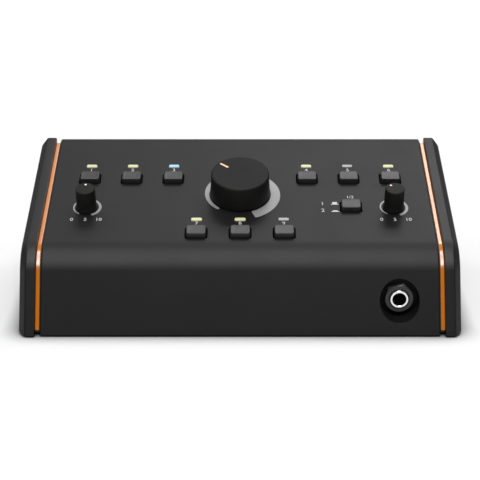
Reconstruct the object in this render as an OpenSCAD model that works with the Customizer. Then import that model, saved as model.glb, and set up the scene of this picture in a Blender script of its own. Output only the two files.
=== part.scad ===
// Desktop studio monitor controller.
// Row frame: +X to the user's right, +Y to the back, +Z up. The origin is on the
// surface it stands on, in the middle of its width and depth.
//
// Inside the modules two helper frames are used.
// dev():  Y = 0 at the front bottom edge of the cheeks, Z = 0 at their underside.
// pan():  on the sloping panel. x to the right, s down the slope from the back,
//         n out of the panel's surface.

/* [Case] */
// Width over both cheeks
body_w = 210; // [206:1:230]
// Depth of the cheeks
body_d = 111.2; // [110.2:0.2:116]
// Distance back from the front edge to the bend's sharp corner
corner_y = 18; // [17:0.5:19]
// Height of the bend's sharp corner
corner_z = 36.5; // [36:0.5:40]
// Slope of the control panel in degrees
slope = 17.26; // [16.5:0.01:18]
// Bend radius of the cheeks, front to panel
bend_r = 22; // [18:0.5:22]
// Thickness of one cheek
cheek_t = 7.8; // [6:0.2:9]
// Chamfer round the outside edge of a cheek
cheek_chamfer = 3.2; // [1:0.1:4]
// Thickness of one trim plate
trim_t = 2.05; // [1.85:0.05:2.25]
// Gap between a trim plate and the cover's edge
trim_gap = 0.35; // [0.3:0.05:0.6]
// How far the cover sits below the cheeks' edge
cover_drop = 0.6; // [0.5:0.1:0.8]
// How far the trim sits below the cheeks' edge
trim_drop = 1.9; // [1.7:0.1:2.4]
// Sheet thickness
sheet_t = 1.2; // [1:0.1:1.2]
// Height of the rubber pads below the cheeks
foot_h = 0.5; // [0.5:0.1:4]

/* [Panel] */
// Column pitch of the two outer button groups
col_pitch = 21.15; // [20.5:0.05:21.5]
// Distance from the centre to the first column of the outer groups
col_first = 34; // [33.5:0.1:34.5]
// Column pitch of the middle button row
mid_pitch = 21.3; // [20.5:0.1:21.5]
// Slope distance of the rear row of buttons
row1_s = 37.5; // [36.5:0.1:38.5]
// Slope distance of the front row of buttons
row2_s = 82.3; // [81.5:0.1:82.8]
// Slope distance of the rear row of lamps
lamp1_s = 26.5; // [26:0.1:27.5]
// Slope distance of the front row of lamps
lamp2_s = 71.6; // [71:0.1:72.4]
// Width of a lamp's lens
lamp_w = 5.4; // [5:0.1:5.6]
// Depth of a lamp's lens
lamp_d = 2.3; // [2.1:0.1:2.4]
// How far a lamp's lens stands out of the panel
lamp_h = 0.5; // [0.2:0.1:0.8]
// Sideways place of the selector
sel_x = 54.9; // [53:0.1:56]
// Slope distance of the selector
sel_s = 61.4; // [60.5:0.1:62.5]
// Button cap width at its foot
cap_w = 9.9; // [9.6:0.1:10.3]
// Button cap depth at its foot
cap_d = 7.4; // [7:0.1:7.9]
// Height of a button cap above the panel
cap_h = 2.5; // [2.2:0.1:3.2]
// Width of a button's hole in the panel
hole_w = 11.0; // [10.9:0.1:11.4]
// Depth of a button's hole in the panel
hole_d = 8.6; // [8.5:0.1:8.8]
// Travel of a push button
travel = 1.8; // [1:0.1:1.8]

/* [Knobs] */
// Foot diameter of the main knob
main_d = 30.1; // [29:0.1:30.8]
// Height of the main knob's top above the panel
main_h = 12.8; // [11.5:0.1:14]
// Slope distance of the main knob
main_s = 50.5; // [50:0.1:51]
// Foot diameter of a small knob
small_d = 10.6; // [10:0.1:12]
// Height of a small knob's top above the panel
small_h = 12.0; // [11.5:0.1:13]
// Sideways distance of the small knobs from the centre
small_x = 75.9; // [75:0.1:76.4]
// Slope distance of the small knobs
small_s = 62.0; // [61:0.1:62.4]
// Main knob pointer, degrees anticlockwise from the top of its travel arc's middle
main_at = 49.5; // [-150:0.5:150]
// Left knob index, same measure
left_at = 0; // [-150:1:150]
// Right knob index, same measure
right_at = 38; // [-150:1:150]

/* [Sockets] */
// Height of the front socket and of the lower back sockets
sock_z = 14.9; // [14.8:0.1:15]
// Sideways distance of the front socket from the centre
jack_x = 75.6; // [75:0.1:76.4]
// Radius of a headphone or line socket's bore
sock_r = 3.25; // [3.2:0.01:3.3]
// Height of the upper back sockets
sock_z2 = 31.9; // [31.5:0.1:32.2]
// Sideways pitch of the back sockets
sock_pitch = 22; // [20:0.5:22]

/* [Hidden] */
$fn = 64;

half_w = body_w / 2;
cheek_x = half_w - cheek_t;            // inner face of a cheek
plate_x = cheek_x - trim_t;            // inner face of a trim plate, outer face of a side plate
trim_x = plate_x - trim_gap;           // side edge of the cover
wall_x = trim_x - sheet_t;             // inner face of a side plate
front_a = atan2(corner_z, corner_y);   // lean of the front face, from the horizontal
cheek_foot_r = 0.4;                     // rounding of a cheek's front bottom edge
nose_y = cheek_foot_r * (1 / tan(front_a / 2) - 1); // frontmost point of the rounded cheek
cover_back = body_d - 0.2;             // back edge of the cover
back_y = body_d - 4.2;                 // outer face of the back wall
flange_y = 13.6;                       // front face of the flange that carries the front socket
floor_z = 0.6;                         // underside of the base plate
board_n = -10.5;                       // top of the control board, along n
board_t = 1.6;
mb_z = 7.0;                            // underside of the main board
mb_top = mb_z + board_t;
shaft_r = 3.0;
small_shaft_r = 2.5;
run_fit = 0.05;                        // radial running clearance
ferrule_r = 4.45;
nut_af = 13.5;
screw_r = 1.5;
cheek_screw_at = [[26, 8], [98, 8], [98, 48]];
cols = [for (i = [0:2]) col_first + i * col_pitch];
back_x = [for (i = [0:3]) -78 + i * sock_pitch];
back_z = [sock_z, sock_z2];
aux_x = 16;
inlet_x = 52;
switch_x = 76;
feet_at = [for (x = [-80, 80], y = [24, 94]) [x, y]];
cb_posts = [[-85, 16], [-18, 16], [18, 16], [85, 16], [-85, 84], [-48, 84], [48, 84], [85, 84]];
mb_posts = [[-84, 22], [0, 22], [60, 22], [-84, 62], [84, 62], [0, 66], [34, 98], [-48, 62]];

// ---------- functions ----------
function unit(v) = v / norm(v);
// height of the panel side's line at y, moved d inwards
function top_z(y, d) = corner_z + (y - corner_y) * tan(slope) - d / cos(slope);
// distance back of the front face's line at height z, moved d inwards
function front_y(z, d) = z / tan(front_a) + d / sin(front_a);
// the sharp corner of the side profile, moved d inwards
function corner(d) =
  let (y = (corner_z - corner_y * tan(slope) - d / cos(slope) + d / cos(front_a)) / (tan(front_a) - tan(slope)))
  [y, (y - d / sin(front_a)) * tan(front_a)];
// points of a rounded corner b between a and c
function fillet(a, b, c, r, n = 8) =
  let (u = unit(a - b), w = unit(c - b), h = acos(u * w) / 2,
       m = b + unit(u + w) * (r / sin(h)), p = b + u * (r / tan(h)), q = b + w * (r / tan(h)),
       a0 = atan2(p[1] - m[1], p[0] - m[0]), d0 = atan2(q[1] - m[1], q[0] - m[0]) - a0,
       d = d0 > 180 ? d0 - 360 : d0 < -180 ? d0 + 360 : d0)
  [for (i = [0:n]) m + r * [cos(a0 + d * i / n), sin(a0 + d * i / n)]];
// rounded rectangle
function rrect(w, h, r, n = 5) = concat(
  fillet([0, h / 2], [w / 2, h / 2], [w / 2, 0], r, n), fillet([w / 2, 0], [w / 2, -h / 2], [0, -h / 2], r, n),
  fillet([0, -h / 2], [-w / 2, -h / 2], [-w / 2, 0], r, n), fillet([-w / 2, 0], [-w / 2, h / 2], [0, h / 2], r, n));
// side profile moved d inwards, with its own underside z0, back y1 and corner radii
function outline(d, z0, y1, r_bend, r_back, r_foot) =
  let (f = [front_y(z0, d), z0], c = corner(d), t = [y1, top_z(y1, d)], b = [y1, z0])
  concat(fillet(b, f, c, r_foot, 6), fillet(f, c, t, r_bend, 18), fillet(c, t, b, r_back, 6), [b]);
// one face of the cover's sheet, from the front return flange over the panel to the back lip
function sheet_line(d, r_foot, r_bend, r_back) =
  let (z0 = d - cover_drop, y1 = cover_back - (d - cover_drop),
       e0 = [flange_y - 0.2, z0], f = [front_y(z0, d), z0], c = corner(d), t = [y1, top_z(y1, d)], e1 = [y1, top_z(cover_back, 0) - 6.4])
  concat([e0], fillet(e0, f, c, r_foot, 5), fillet(f, c, t, r_bend, 18), fillet(c, t, e1, r_back, 5), [e1]);
function back_to_front(l) = [for (i = [len(l) - 1:-1:0]) l[i]];
// a band of thickness t along a path
function band(path, t) =
  let (m = len(path) - 1,
       nrm = [for (i = [0:m]) let (v = unit((i < m ? unit(path[i + 1] - path[i]) : [0, 0]) + (i > 0 ? unit(path[i] - path[i - 1]) : [0, 0]))) [-v[1], v[0]]])
  concat([for (i = [0:m]) path[i] + nrm[i] * t / 2], [for (i = [m:-1:0]) path[i] - nrm[i] * t / 2]);

// ---------- frames ----------
module dev() translate([0, -(body_d + nose_y) / 2, foot_h]) children();
module pan(x, s, n = 0)
  translate([x, body_d - 0.43 - s * cos(slope), top_z(body_d - 0.43, cover_drop) - s * sin(slope)])
    rotate([slope, 0, 0]) translate([0, 0, n]) children();
module on_panel(x, s, n = 0) dev() pan(x, s, n) children();
// z points to the back, y down
module back(x, z, y = 0) translate([x, y, z]) rotate([-90, 0, 0]) children();
// z points to the front, y up
module front(x, z, y = 0) translate([x, y, z]) rotate([90, 0, 0]) children();
// a profile in the Y-Z plane, extruded from x0 to x1
module yz(x0, x1) translate([x0, 0, 0]) rotate([90, 0, 90]) linear_extrude(x1 - x0) children();
module both() { children(); mirror([1, 0, 0]) children(); }
module box(x0, x1, y0, y1, z0, z1) translate([x0, y0, z0]) cube([x1 - x0, y1 - y0, z1 - z0]);

// ---------- case ----------
inner_outline = outline(cover_drop + sheet_t + 0.02, sheet_t + 0.02, cover_back - sheet_t - 0.02, bend_r - cover_drop - sheet_t, 0.4, 0.4);

module panel_cuts() {
  for (m = [-1, 1], c = cols) {
    pan(m * c, row1_s, -sheet_t - 2) linear_extrude(sheet_t + 4) polygon(rrect(hole_w, hole_d, 1.0));
    pan(m * c, lamp1_s, -sheet_t - 2) linear_extrude(sheet_t + 4) polygon(rrect(lamp_w + 0.2, lamp_d + 0.2, 0.9, 4));
  }
  for (i = [-1:1]) {
    pan(i * mid_pitch, row2_s, -sheet_t - 2) linear_extrude(sheet_t + 4) polygon(rrect(hole_w, hole_d, 1.0));
    pan(i * mid_pitch, lamp2_s, -sheet_t - 2) linear_extrude(sheet_t + 4) polygon(rrect(lamp_w + 0.2, lamp_d + 0.2, 0.9, 4));
  }
  pan(sel_x, sel_s, -sheet_t - 2) linear_extrude(sheet_t + 4) polygon(rrect(hole_w, hole_d, 1.0));
  pan(0, main_s, -sheet_t - 2) cylinder(h = sheet_t + 4, r = 4.6);
  for (m = [-1, 1]) pan(m * small_x, small_s, -sheet_t - 2) cylinder(h = sheet_t + 4, r = 4.0);
}

// one bent sheet: front return flange, front, bend, panel and back lip
module top_cover() color([0.10, 0.10, 0.105]) dev() difference() {
  yz(-trim_x, trim_x) polygon(concat(
    sheet_line(cover_drop, 0.5, bend_r - cover_drop, 1.6),
    back_to_front(sheet_line(cover_drop + sheet_t, 0.2, bend_r - cover_drop - sheet_t, 0.4))));
  panel_cuts();
  front(jack_x, sock_z, flange_y + 2.4) cylinder(h = flange_y + 6, r = 9.5);
}

// flat plates that close the cover's ends and carry the trims and cheeks
module side_plates() color([0.09, 0.09, 0.095]) dev() both() difference() {
  union() {
    yz(wall_x, plate_x) polygon(inner_outline);
    box(trim_x + 0.05, cheek_x - 0.05, 3.5, body_d - 3, 0.65, 1.55);
  }
  for (p = cheek_screw_at) translate([wall_x - 2, p[0], p[1]]) rotate([0, 90, 0]) cylinder(h = 6, r = screw_r);
}

// tray with side flanges and the front flange that holds the headphone socket
module base_chassis() color([0.09, 0.09, 0.095]) dev() difference() {
  union() {
    box(-wall_x, wall_x, flange_y, back_y, floor_z, floor_z + sheet_t);
    box(-wall_x, wall_x, flange_y, flange_y + sheet_t, floor_z, 22.8);
    both() box(wall_x - sheet_t, wall_x, flange_y, back_y - sheet_t, floor_z, 14);
  }
  front(jack_x, sock_z, flange_y + sheet_t + 1) cylinder(h = 4, r = ferrule_r + 0.1);
  both() for (p = cheek_screw_at) translate([wall_x - 3, p[0], p[1]]) rotate([0, 90, 0]) cylinder(h = 6, r = screw_r);
  for (p = feet_at) translate([p[0], p[1], -1]) cylinder(h = 5, r = 1.25);
}

// flat back panel that holds the back sockets
module rear_panel() color([0.09, 0.09, 0.095]) dev() difference() {
  box(-wall_x, wall_x, back_y - sheet_t, back_y, floor_z + sheet_t, top_z(back_y, cover_drop + sheet_t) - 0.5);
  for (x = back_x, z = back_z) back(x, z, back_y - sheet_t - 1) cylinder(h = 4, r = ferrule_r + 0.1);
  back(aux_x, sock_z, back_y - sheet_t - 1) cylinder(h = 4, r = 3.0);
  back(inlet_x, sock_z, back_y - sheet_t - 1) cylinder(h = 4, r = 4.1);
  back(switch_x, sock_z, back_y - sheet_t - 1) linear_extrude(4) polygon(rrect(9.0, 9.0, 0.8, 4));
}

module cheek() difference() {
  union() {
    yz(cheek_x, half_w - cheek_chamfer) polygon(outline(0, 0, body_d, bend_r, 1.6, cheek_foot_r));
    hull() {
      yz(half_w - cheek_chamfer - 0.01, half_w - cheek_chamfer) polygon(outline(0, 0, body_d, bend_r, 1.6, cheek_foot_r));
      yz(half_w - 0.01, half_w) polygon(outline(cheek_chamfer, 0.25 * cheek_chamfer, body_d - cheek_chamfer, bend_r - cheek_chamfer, 0.6, 0.6));
    }
  }
  for (p = cheek_screw_at) translate([0, p[0], p[1]]) rotate([0, 90, 0]) {
    translate([0, 0, cheek_x - 1]) cylinder(h = cheek_t + 2, r = screw_r);
    translate([0, 0, half_w - 1.9]) cylinder(h = 2, r1 = screw_r, r2 = 3.5);
  }
}
module right_cheek() color([0.17, 0.17, 0.175]) dev() cheek();
module left_cheek() color([0.17, 0.17, 0.175]) dev() mirror([1, 0, 0]) cheek();

module trim() difference() {
  yz(plate_x, cheek_x) polygon(outline(trim_drop, 1.6, body_d - 1.8, bend_r - trim_drop, 1.2, 0.6));
  for (p = cheek_screw_at) translate([plate_x - 1, p[0], p[1]]) rotate([0, 90, 0]) cylinder(h = trim_t + 2, r = screw_r);
}
module right_trim() color([0.90, 0.45, 0.10]) dev() trim();
module left_trim() color([0.90, 0.45, 0.10]) dev() mirror([1, 0, 0]) trim();

// countersunk screws with a hexagon socket
module cheek_screws() color([0.12, 0.12, 0.12]) dev() both() for (p = cheek_screw_at)
  translate([0, p[0], p[1]]) rotate([0, 90, 0]) difference() {
    union() {
      translate([0, 0, wall_x - 5]) cylinder(h = half_w - 0.3 - wall_x + 5, r = screw_r);
      translate([0, 0, half_w - 1.9]) cylinder(h = 1.6, r1 = screw_r, r2 = 3.1);
    }
    translate([0, 0, half_w - 1.5]) cylinder(h = 2, r = 1.15, $fn = 6);
  }

module rubber_feet() color([0.05, 0.05, 0.05]) dev() for (p = feet_at) translate([p[0], p[1], -foot_h])
  rotate_extrude() polygon([[1.25, 0.6], [3.4, 0.6], [3.4, 0], [6.4, 0], [7, 0.4], [7, foot_h + floor_z], [1.25, foot_h + floor_z]]);
module foot_screws() color([0.6, 0.6, 0.6]) dev() for (p = feet_at) translate([p[0], p[1], -foot_h]) difference() {
  union() {
    translate([0, 0, 0.15]) cylinder(h = 0.45, r = 2.7);
    translate([0, 0, 0.5]) cylinder(h = foot_h + floor_z + 2.7, r = 1.25);
  }
  translate([0, 0, -0.1]) linear_extrude(0.5) { square([2.6, 0.6], center = true); square([0.6, 2.6], center = true); }
}

// ---------- boards ----------
module control_board() color([0.05, 0.25, 0.12]) dev() pan(0, 0, board_n - board_t) difference() {
  translate([-88, -88, 0]) cube([176, 76, board_t]);
  for (p = cb_posts) translate([p[0], -p[1], -1]) cylinder(h = 4, r = 1.25);
}
module control_board_standoffs() color([0.75, 0.65, 0.35]) for (p = cb_posts) on_panel(p[0], p[1], board_n) difference() {
  cylinder(h = -board_n - sheet_t, r = 2.6);
  translate([0, 0, -1]) cylinder(h = 6, r = 1.25);
}
module main_board() color([0.05, 0.25, 0.12]) dev() difference() {
  box(-88, 88, 17, 104, mb_z, mb_top);
  for (p = mb_posts) translate([p[0], p[1], mb_z - 1]) cylinder(h = 4, r = 1.25);
}
module main_board_standoffs() color([0.75, 0.65, 0.35]) dev() for (p = mb_posts) translate([p[0], p[1], floor_z + sheet_t]) difference() {
  cylinder(h = mb_z - floor_z - sheet_t, r = 2.6);
  translate([0, 0, 1]) cylinder(h = 6, r = 1.25);
}
// z runs from the screw's head along its thread
module board_screw() {
  cylinder(h = board_t + 4, r = 1.25);
  translate([0, 0, -1.2]) cylinder(h = 1.2, r = 2.4);
}
module board_screws() color([0.6, 0.6, 0.6]) {
  for (p = cb_posts) on_panel(p[0], p[1], board_n - board_t) board_screw();
  for (p = mb_posts) dev() translate([p[0], p[1], mb_top]) rotate([180, 0, 0]) board_screw();
}

// ---------- controls that stay with the case ----------
module main_pot_body() color([0.35, 0.35, 0.36]) on_panel(0, main_s) difference() {
  union() {
    translate([0, 0, board_n]) linear_extrude(-board_n - 2.5) polygon(rrect(17, 18, 2));
    translate([0, 0, -2.6]) cylinder(h = 6.0, r = 4.5);
  }
  translate([0, 0, -8.4]) cylinder(h = 13, r = shaft_r + run_fit);
}
module main_pot_nut() color([0.7, 0.7, 0.7]) on_panel(0, main_s) difference() {
  union() {
    cylinder(h = 0.5, r = 7.0);
    translate([0, 0, 0.5]) cylinder(h = 2.4, r = 12 / sqrt(3), $fn = 6);
  }
  translate([0, 0, -1]) cylinder(h = 5, r = 4.5);
}
module small_pot_bodies() color([0.35, 0.35, 0.36]) for (m = [-1, 1]) on_panel(m * small_x, small_s) difference() {
  union() {
    translate([0, -1, board_n]) linear_extrude(-board_n - 3.5) polygon(rrect(9.8, 11.6, 1));
    translate([0, 0, -3.6]) cylinder(h = 3.4, r = 3.4);
  }
  translate([0, 0, -7.4]) cylinder(h = 9, r = small_shaft_r + run_fit);
}
module housing() translate([0, 0, board_n]) difference() {
  translate([-4.5, -4.5, 0]) cube([9, 9, -board_n - 5.2]);
  translate([-1.85, -1.85, 1]) cube([3.7, 3.7, 9]);
}
module switch_housings() color([0.15, 0.15, 0.16]) {
  for (m = [-1, 1], c = cols) on_panel(m * c, row1_s) housing();
  for (i = [-1:1]) on_panel(i * mid_pitch, row2_s) housing();
  on_panel(sel_x, sel_s) housing();
}
module lamp() {
  translate([0, 0, -6.8]) linear_extrude(6.8 + lamp_h) polygon(rrect(lamp_w, lamp_d, 0.85, 4));
  for (m = [-1, 1]) translate([m * 1.27 - 0.25, -0.25, board_n]) cube([0.5, 0.5, -board_n - 6.7]);
}
module lit_lamps() color([0.95, 0.92, 0.65]) {
  on_panel(-cols[2], lamp1_s) lamp();
  on_panel(-cols[1], lamp1_s) lamp();
  on_panel(cols[0], lamp1_s) lamp();
  on_panel(cols[2], lamp1_s) lamp();
  on_panel(-mid_pitch, lamp2_s) lamp();
  on_panel(0, lamp2_s) lamp();
}
module blue_lamp() color([0.65, 0.88, 1]) on_panel(-cols[0], lamp1_s) lamp();
module unlit_lamps() color([0.72, 0.72, 0.74]) {
  on_panel(cols[1], lamp1_s) lamp();
  on_panel(mid_pitch, lamp2_s) lamp();
}

// ---------- sockets ----------
module nut(h) difference() {
  intersection() {
    cylinder(h = h, r = nut_af / sqrt(3), $fn = 6);
    translate([0, 0, -6]) cylinder(h = h + 6, r1 = nut_af / 2 + 0.35 + h + 6, r2 = nut_af / 2 + 0.15);
  }
  translate([0, 0, -1]) cylinder(h = h + 2, r = ferrule_r);
}
module headphone_socket_body() color([0.07, 0.07, 0.07]) dev() difference() {
  box(jack_x - 8, jack_x + 8, flange_y + sheet_t, 46, mb_top, 22.2);
  front(jack_x, sock_z, 44) cylinder(h = 40, r = sock_r);
}
module headphone_ferrule() color([0.85, 0.85, 0.86]) dev() front(jack_x, sock_z, flange_y + sheet_t)
  rotate_extrude() polygon([[sock_r, 0], [ferrule_r, 0], [ferrule_r, 4.6], [ferrule_r - 0.25, 4.9], [sock_r, 4.9]]);
module headphone_nut() color([0.05, 0.05, 0.05]) dev() front(jack_x, sock_z, flange_y) rotate([0, 0, 14.6]) nut(3.0);

module rear_socket_bodies() color([0.07, 0.07, 0.07]) dev() for (x = back_x) difference() {
  box(x - 8, x + 8, 72.5, back_y - sheet_t, mb_top, sock_z2 + 7.5);
  for (z = back_z) back(x, z, 74.5) cylinder(h = 40, r = sock_r);
}
module rear_socket_ferrules() color([0.85, 0.85, 0.86]) dev() for (x = back_x, z = back_z) back(x, z, back_y - sheet_t)
  rotate_extrude() polygon([[sock_r, 0], [ferrule_r, 0], [ferrule_r, 4.3], [ferrule_r - 0.25, 4.6], [sock_r, 4.6]]);
module rear_socket_nuts() color([0.05, 0.05, 0.05]) dev() for (x = back_x, z = back_z) back(x, z, back_y) nut(2.4);

module aux_socket_body() color([0.07, 0.07, 0.07]) dev() difference() {
  box(aux_x - 5, aux_x + 5, 90.5, back_y - sheet_t, mb_top, sock_z + 4);
  back(aux_x, sock_z, 91.5) cylinder(h = 20, r = 1.8);
}
module aux_socket_ring() color([0.85, 0.85, 0.86]) dev() back(aux_x, sock_z, back_y - sheet_t)
  rotate_extrude() polygon([[1.8, 0], [2.9, 0], [2.9, sheet_t], [4.2, sheet_t], [4.2, sheet_t + 1.6], [3.9, sheet_t + 1.9], [1.8, sheet_t + 1.9]]);

module power_inlet_body() color([0.06, 0.06, 0.06]) dev() difference() {
  union() {
    box(inlet_x - 4.6, inlet_x + 4.6, 92.6, back_y - sheet_t, mb_top, sock_z + 5.4);
    back(inlet_x, sock_z, back_y - sheet_t - 0.1) cylinder(h = 0.1 + sheet_t + 1.0, r = 4.0);
  }
  back(inlet_x, sock_z, 96.5) cylinder(h = 20, r = 2.9);
}
module power_inlet_pin() color([0.85, 0.85, 0.86]) dev() back(inlet_x, sock_z, 96.5)
  rotate_extrude() polygon([[0, 0], [1.05, 0], [1.05, 8.6], [0.7, 9.0], [0, 9.0]]);

module power_switch_housing() color([0.08, 0.08, 0.08]) dev() difference() {
  box(switch_x - 6.2, switch_x + 6.2, 88, back_y - sheet_t, mb_top, sock_z + 6.2);
  back(switch_x, sock_z, 95) translate([-4.5, -4.5, 0]) cube([9, 9, 20]);
  back(switch_x, sock_z, 90) translate([-2.35, -2.35, 0]) cube([4.7, 4.7, 20]);
}

// ---------- parts on the boards ----------
module relays() color([0.80, 0.80, 0.78]) dev() {
  for (x = [-74, -58, -42, -26]) box(x - 3.8, x + 3.8, 40, 55, mb_top, mb_top + 9.6);
  for (x = [22, 38, 54]) box(x - 3.8, x + 3.8, 50, 65, mb_top, mb_top + 9.6);
}
module capacitors() color([0.12, 0.14, 0.28]) dev() {
  for (x = [24, 36, 48], y = [80]) translate([x, y, mb_top]) cylinder(h = 12, r = 4);
  for (x = [-64, -52, -40, -28]) translate([x, 28, mb_top]) cylinder(h = 7, r = 2.5);
  for (x = [64, 77]) translate([x, 78, mb_top]) cylinder(h = 16, r = 5);
}
module amplifier_chips() color([0.08, 0.08, 0.09]) dev() {
  for (x = [-72, -56, -40]) box(x - 5, x + 5, 61, 65, mb_top, mb_top + 1.8);
  for (x = [-20, 20, 40]) box(x - 2, x + 2, 31, 36, mb_top, mb_top + 1.8);
}
module wireless_module() color([0.55, 0.56, 0.58]) dev() union() {
  box(-3, 10, 80, 94, mb_top, mb_top + 1);
  box(-2, 9, 83, 93, mb_top + 1, mb_top + 3);
}
ribbon_route = let (a = [46, mb_top + 5], b = [46, 21], c = [52, 26], d = [52, 31])
  concat([a], fillet(a, b, c, 3, 6), fillet(b, c, d, 3, 6), [d]);
module ribbon_headers() color([0.10, 0.10, 0.10]) dev() {
  box(-16, 16, 43, 49, mb_top, mb_top + 5);
  pan(0, 64.45, board_n - board_t - 3.2) translate([-16, -3, 0]) cube([32, 6, 3.2]);
}
module ribbon_cable() color([0.70, 0.70, 0.72]) dev() difference() {
  yz(-14, 14) polygon(band(ribbon_route, 0.9));
  pan(0, 64.45, board_n - board_t - 3.2) translate([-20, -10, 0]) cube([40, 20, 20]);
}

// ---------- knobs ----------
module main_knob() color([0.08, 0.08, 0.085]) on_panel(0, main_s) difference() {
  rotate_extrude($fn = 128) polygon(concat(
    [[0, main_h]], fillet([0, main_h], [main_d / 2 - 0.72, main_h], [main_d / 2, 0.5], 0.7, 5),
    [[main_d / 2, 0.8], [main_d / 2 - 0.3, 0.5], [10.5, 0.5], [10.5, 3.8], [shaft_r, 3.8], [shaft_r, main_h - 1.8], [0, main_h - 1.8]]));
  rotate([0, 0, main_at]) translate([-0.55, 7.7, main_h - 0.3]) cube([1.1, 5.3, 1]);
}
module main_knob_pointer() color([1, 0.66, 0.40]) on_panel(0, main_s) rotate([0, 0, main_at])
  translate([-0.55, 7.7, main_h - 0.3]) cube([1.1, 5.3, 0.32]);
module main_pot_shaft() color([0.75, 0.75, 0.76]) on_panel(0, main_s, -8) cylinder(h = main_h - 1.8 + 8, r = shaft_r);

module small_knob(a) difference() {
  rotate_extrude() polygon(concat(
    [[0, small_h]], fillet([0, small_h], [small_d / 2 - 0.55, small_h], [small_d / 2, 0.5], 0.5, 5),
    [[small_d / 2, 0.7], [small_d / 2 - 0.25, 0.45], [small_shaft_r, 0.45], [small_shaft_r, small_h - 2], [0, small_h - 2]]));
  rotate([0, 0, a]) translate([0, 3.0, small_h - 0.3]) cylinder(h = 1, r = 0.55);
}
module knob_dot(a) rotate([0, 0, a]) translate([0, 3.0, small_h - 0.3]) cylinder(h = 0.32, r = 0.55);
module small_shaft() translate([0, 0, -7]) cylinder(h = small_h - 2 + 7, r = small_shaft_r);
module left_knob() color([0.06, 0.06, 0.06]) on_panel(-small_x, small_s) small_knob(left_at);
module right_knob() color([0.06, 0.06, 0.06]) on_panel(small_x, small_s) small_knob(right_at);
module left_knob_dot() color([0.95, 0.93, 0.90]) on_panel(-small_x, small_s) knob_dot(left_at);
module right_knob_dot() color([0.95, 0.85, 0.82]) on_panel(small_x, small_s) knob_dot(right_at);
module left_pot_shaft() color([0.75, 0.75, 0.76]) on_panel(-small_x, small_s) small_shaft();
module right_pot_shaft() color([0.75, 0.75, 0.76]) on_panel(small_x, small_s) small_shaft();

// ---------- buttons ----------
module cap() {
  hull() {
    linear_extrude(0.4) polygon(rrect(cap_w, cap_d, 0.9, 4));
    translate([0, 0, cap_h - 0.41]) linear_extrude(0.01) polygon(rrect(cap_w - 0.5, cap_d - 0.5, 0.8, 4));
    translate([0, 0, cap_h - 0.01]) linear_extrude(0.01) polygon(rrect(cap_w - 1.3, cap_d - 1.3, 0.5, 4));
  }
  translate([0, 0, -3]) linear_extrude(3.01) polygon(rrect(cap_w, cap_d, 0.9, 4));
  translate([-1.5, -1.5, -5.2 - travel]) cube([3, 3, 2.21 + travel]);
}
module black_cap() color([0.13, 0.13, 0.135]) cap();
module source_button_1() on_panel(-cols[2], row1_s) black_cap();
module source_button_2() on_panel(-cols[1], row1_s) black_cap();
module source_button_3() on_panel(-cols[0], row1_s) black_cap();
module speaker_button_1() on_panel(cols[0], row1_s) black_cap();
module speaker_button_2() on_panel(cols[1], row1_s) black_cap();
module speaker_button_3() on_panel(cols[2], row1_s) black_cap();
module function_button_1() on_panel(-mid_pitch, row2_s) black_cap();
module function_button_2() on_panel(0, row2_s) black_cap();
module function_button_3() on_panel(mid_pitch, row2_s) black_cap();
module selector_button() on_panel(sel_x, sel_s) black_cap();
module power_button() color([0.10, 0.10, 0.10]) dev() back(switch_x, sock_z, back_y) {
  hull() {
    translate([0, 0, -5]) linear_extrude(8) polygon(rrect(8, 8, 0.8, 4));
    translate([0, 0, 3.5]) linear_extrude(0.01) polygon(rrect(7.2, 7.2, 0.5, 4));
  }
  translate([-2, -2, -13]) cube([4, 4, 8.01]);
}

top_cover();
side_plates();
base_chassis();
rear_panel();
left_cheek();
right_cheek();
left_trim();
right_trim();
cheek_screws();
rubber_feet();
foot_screws();
control_board();
control_board_standoffs();
main_board();
main_board_standoffs();
board_screws();
main_pot_body();
main_pot_nut();
small_pot_bodies();
switch_housings();
lit_lamps();
blue_lamp();
unlit_lamps();
headphone_socket_body();
headphone_ferrule();
headphone_nut();
rear_socket_bodies();
rear_socket_ferrules();
rear_socket_nuts();
aux_socket_body();
aux_socket_ring();
power_inlet_body();
power_inlet_pin();
power_switch_housing();
relays();
capacitors();
amplifier_chips();
wireless_module();
ribbon_cable();
ribbon_headers();
main_knob();
main_knob_pointer();
main_pot_shaft();
left_knob();
left_knob_dot();
left_pot_shaft();
right_knob();
right_knob_dot();
right_pot_shaft();
source_button_1();
source_button_2();
source_button_3();
speaker_button_1();
speaker_button_2();
speaker_button_3();
function_button_1();
function_button_2();
function_button_3();
selector_button();
power_button();
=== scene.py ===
import bpy, math
from mathutils import Vector, Matrix
from mathutils.geometry import delaunay_2d_cdt


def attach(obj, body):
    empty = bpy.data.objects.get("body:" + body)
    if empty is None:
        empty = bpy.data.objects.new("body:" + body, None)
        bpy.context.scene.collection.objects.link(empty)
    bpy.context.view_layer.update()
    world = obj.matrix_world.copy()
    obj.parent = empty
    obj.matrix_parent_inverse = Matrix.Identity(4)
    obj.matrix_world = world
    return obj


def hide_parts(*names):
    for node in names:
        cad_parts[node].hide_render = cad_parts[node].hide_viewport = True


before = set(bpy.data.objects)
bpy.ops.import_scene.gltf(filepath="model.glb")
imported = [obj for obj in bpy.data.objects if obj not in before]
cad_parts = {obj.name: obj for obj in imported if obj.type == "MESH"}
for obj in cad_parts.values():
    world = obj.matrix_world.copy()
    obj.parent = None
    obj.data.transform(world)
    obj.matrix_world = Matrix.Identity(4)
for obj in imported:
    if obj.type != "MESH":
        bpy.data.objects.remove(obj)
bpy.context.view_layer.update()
MM = 0.001

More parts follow.
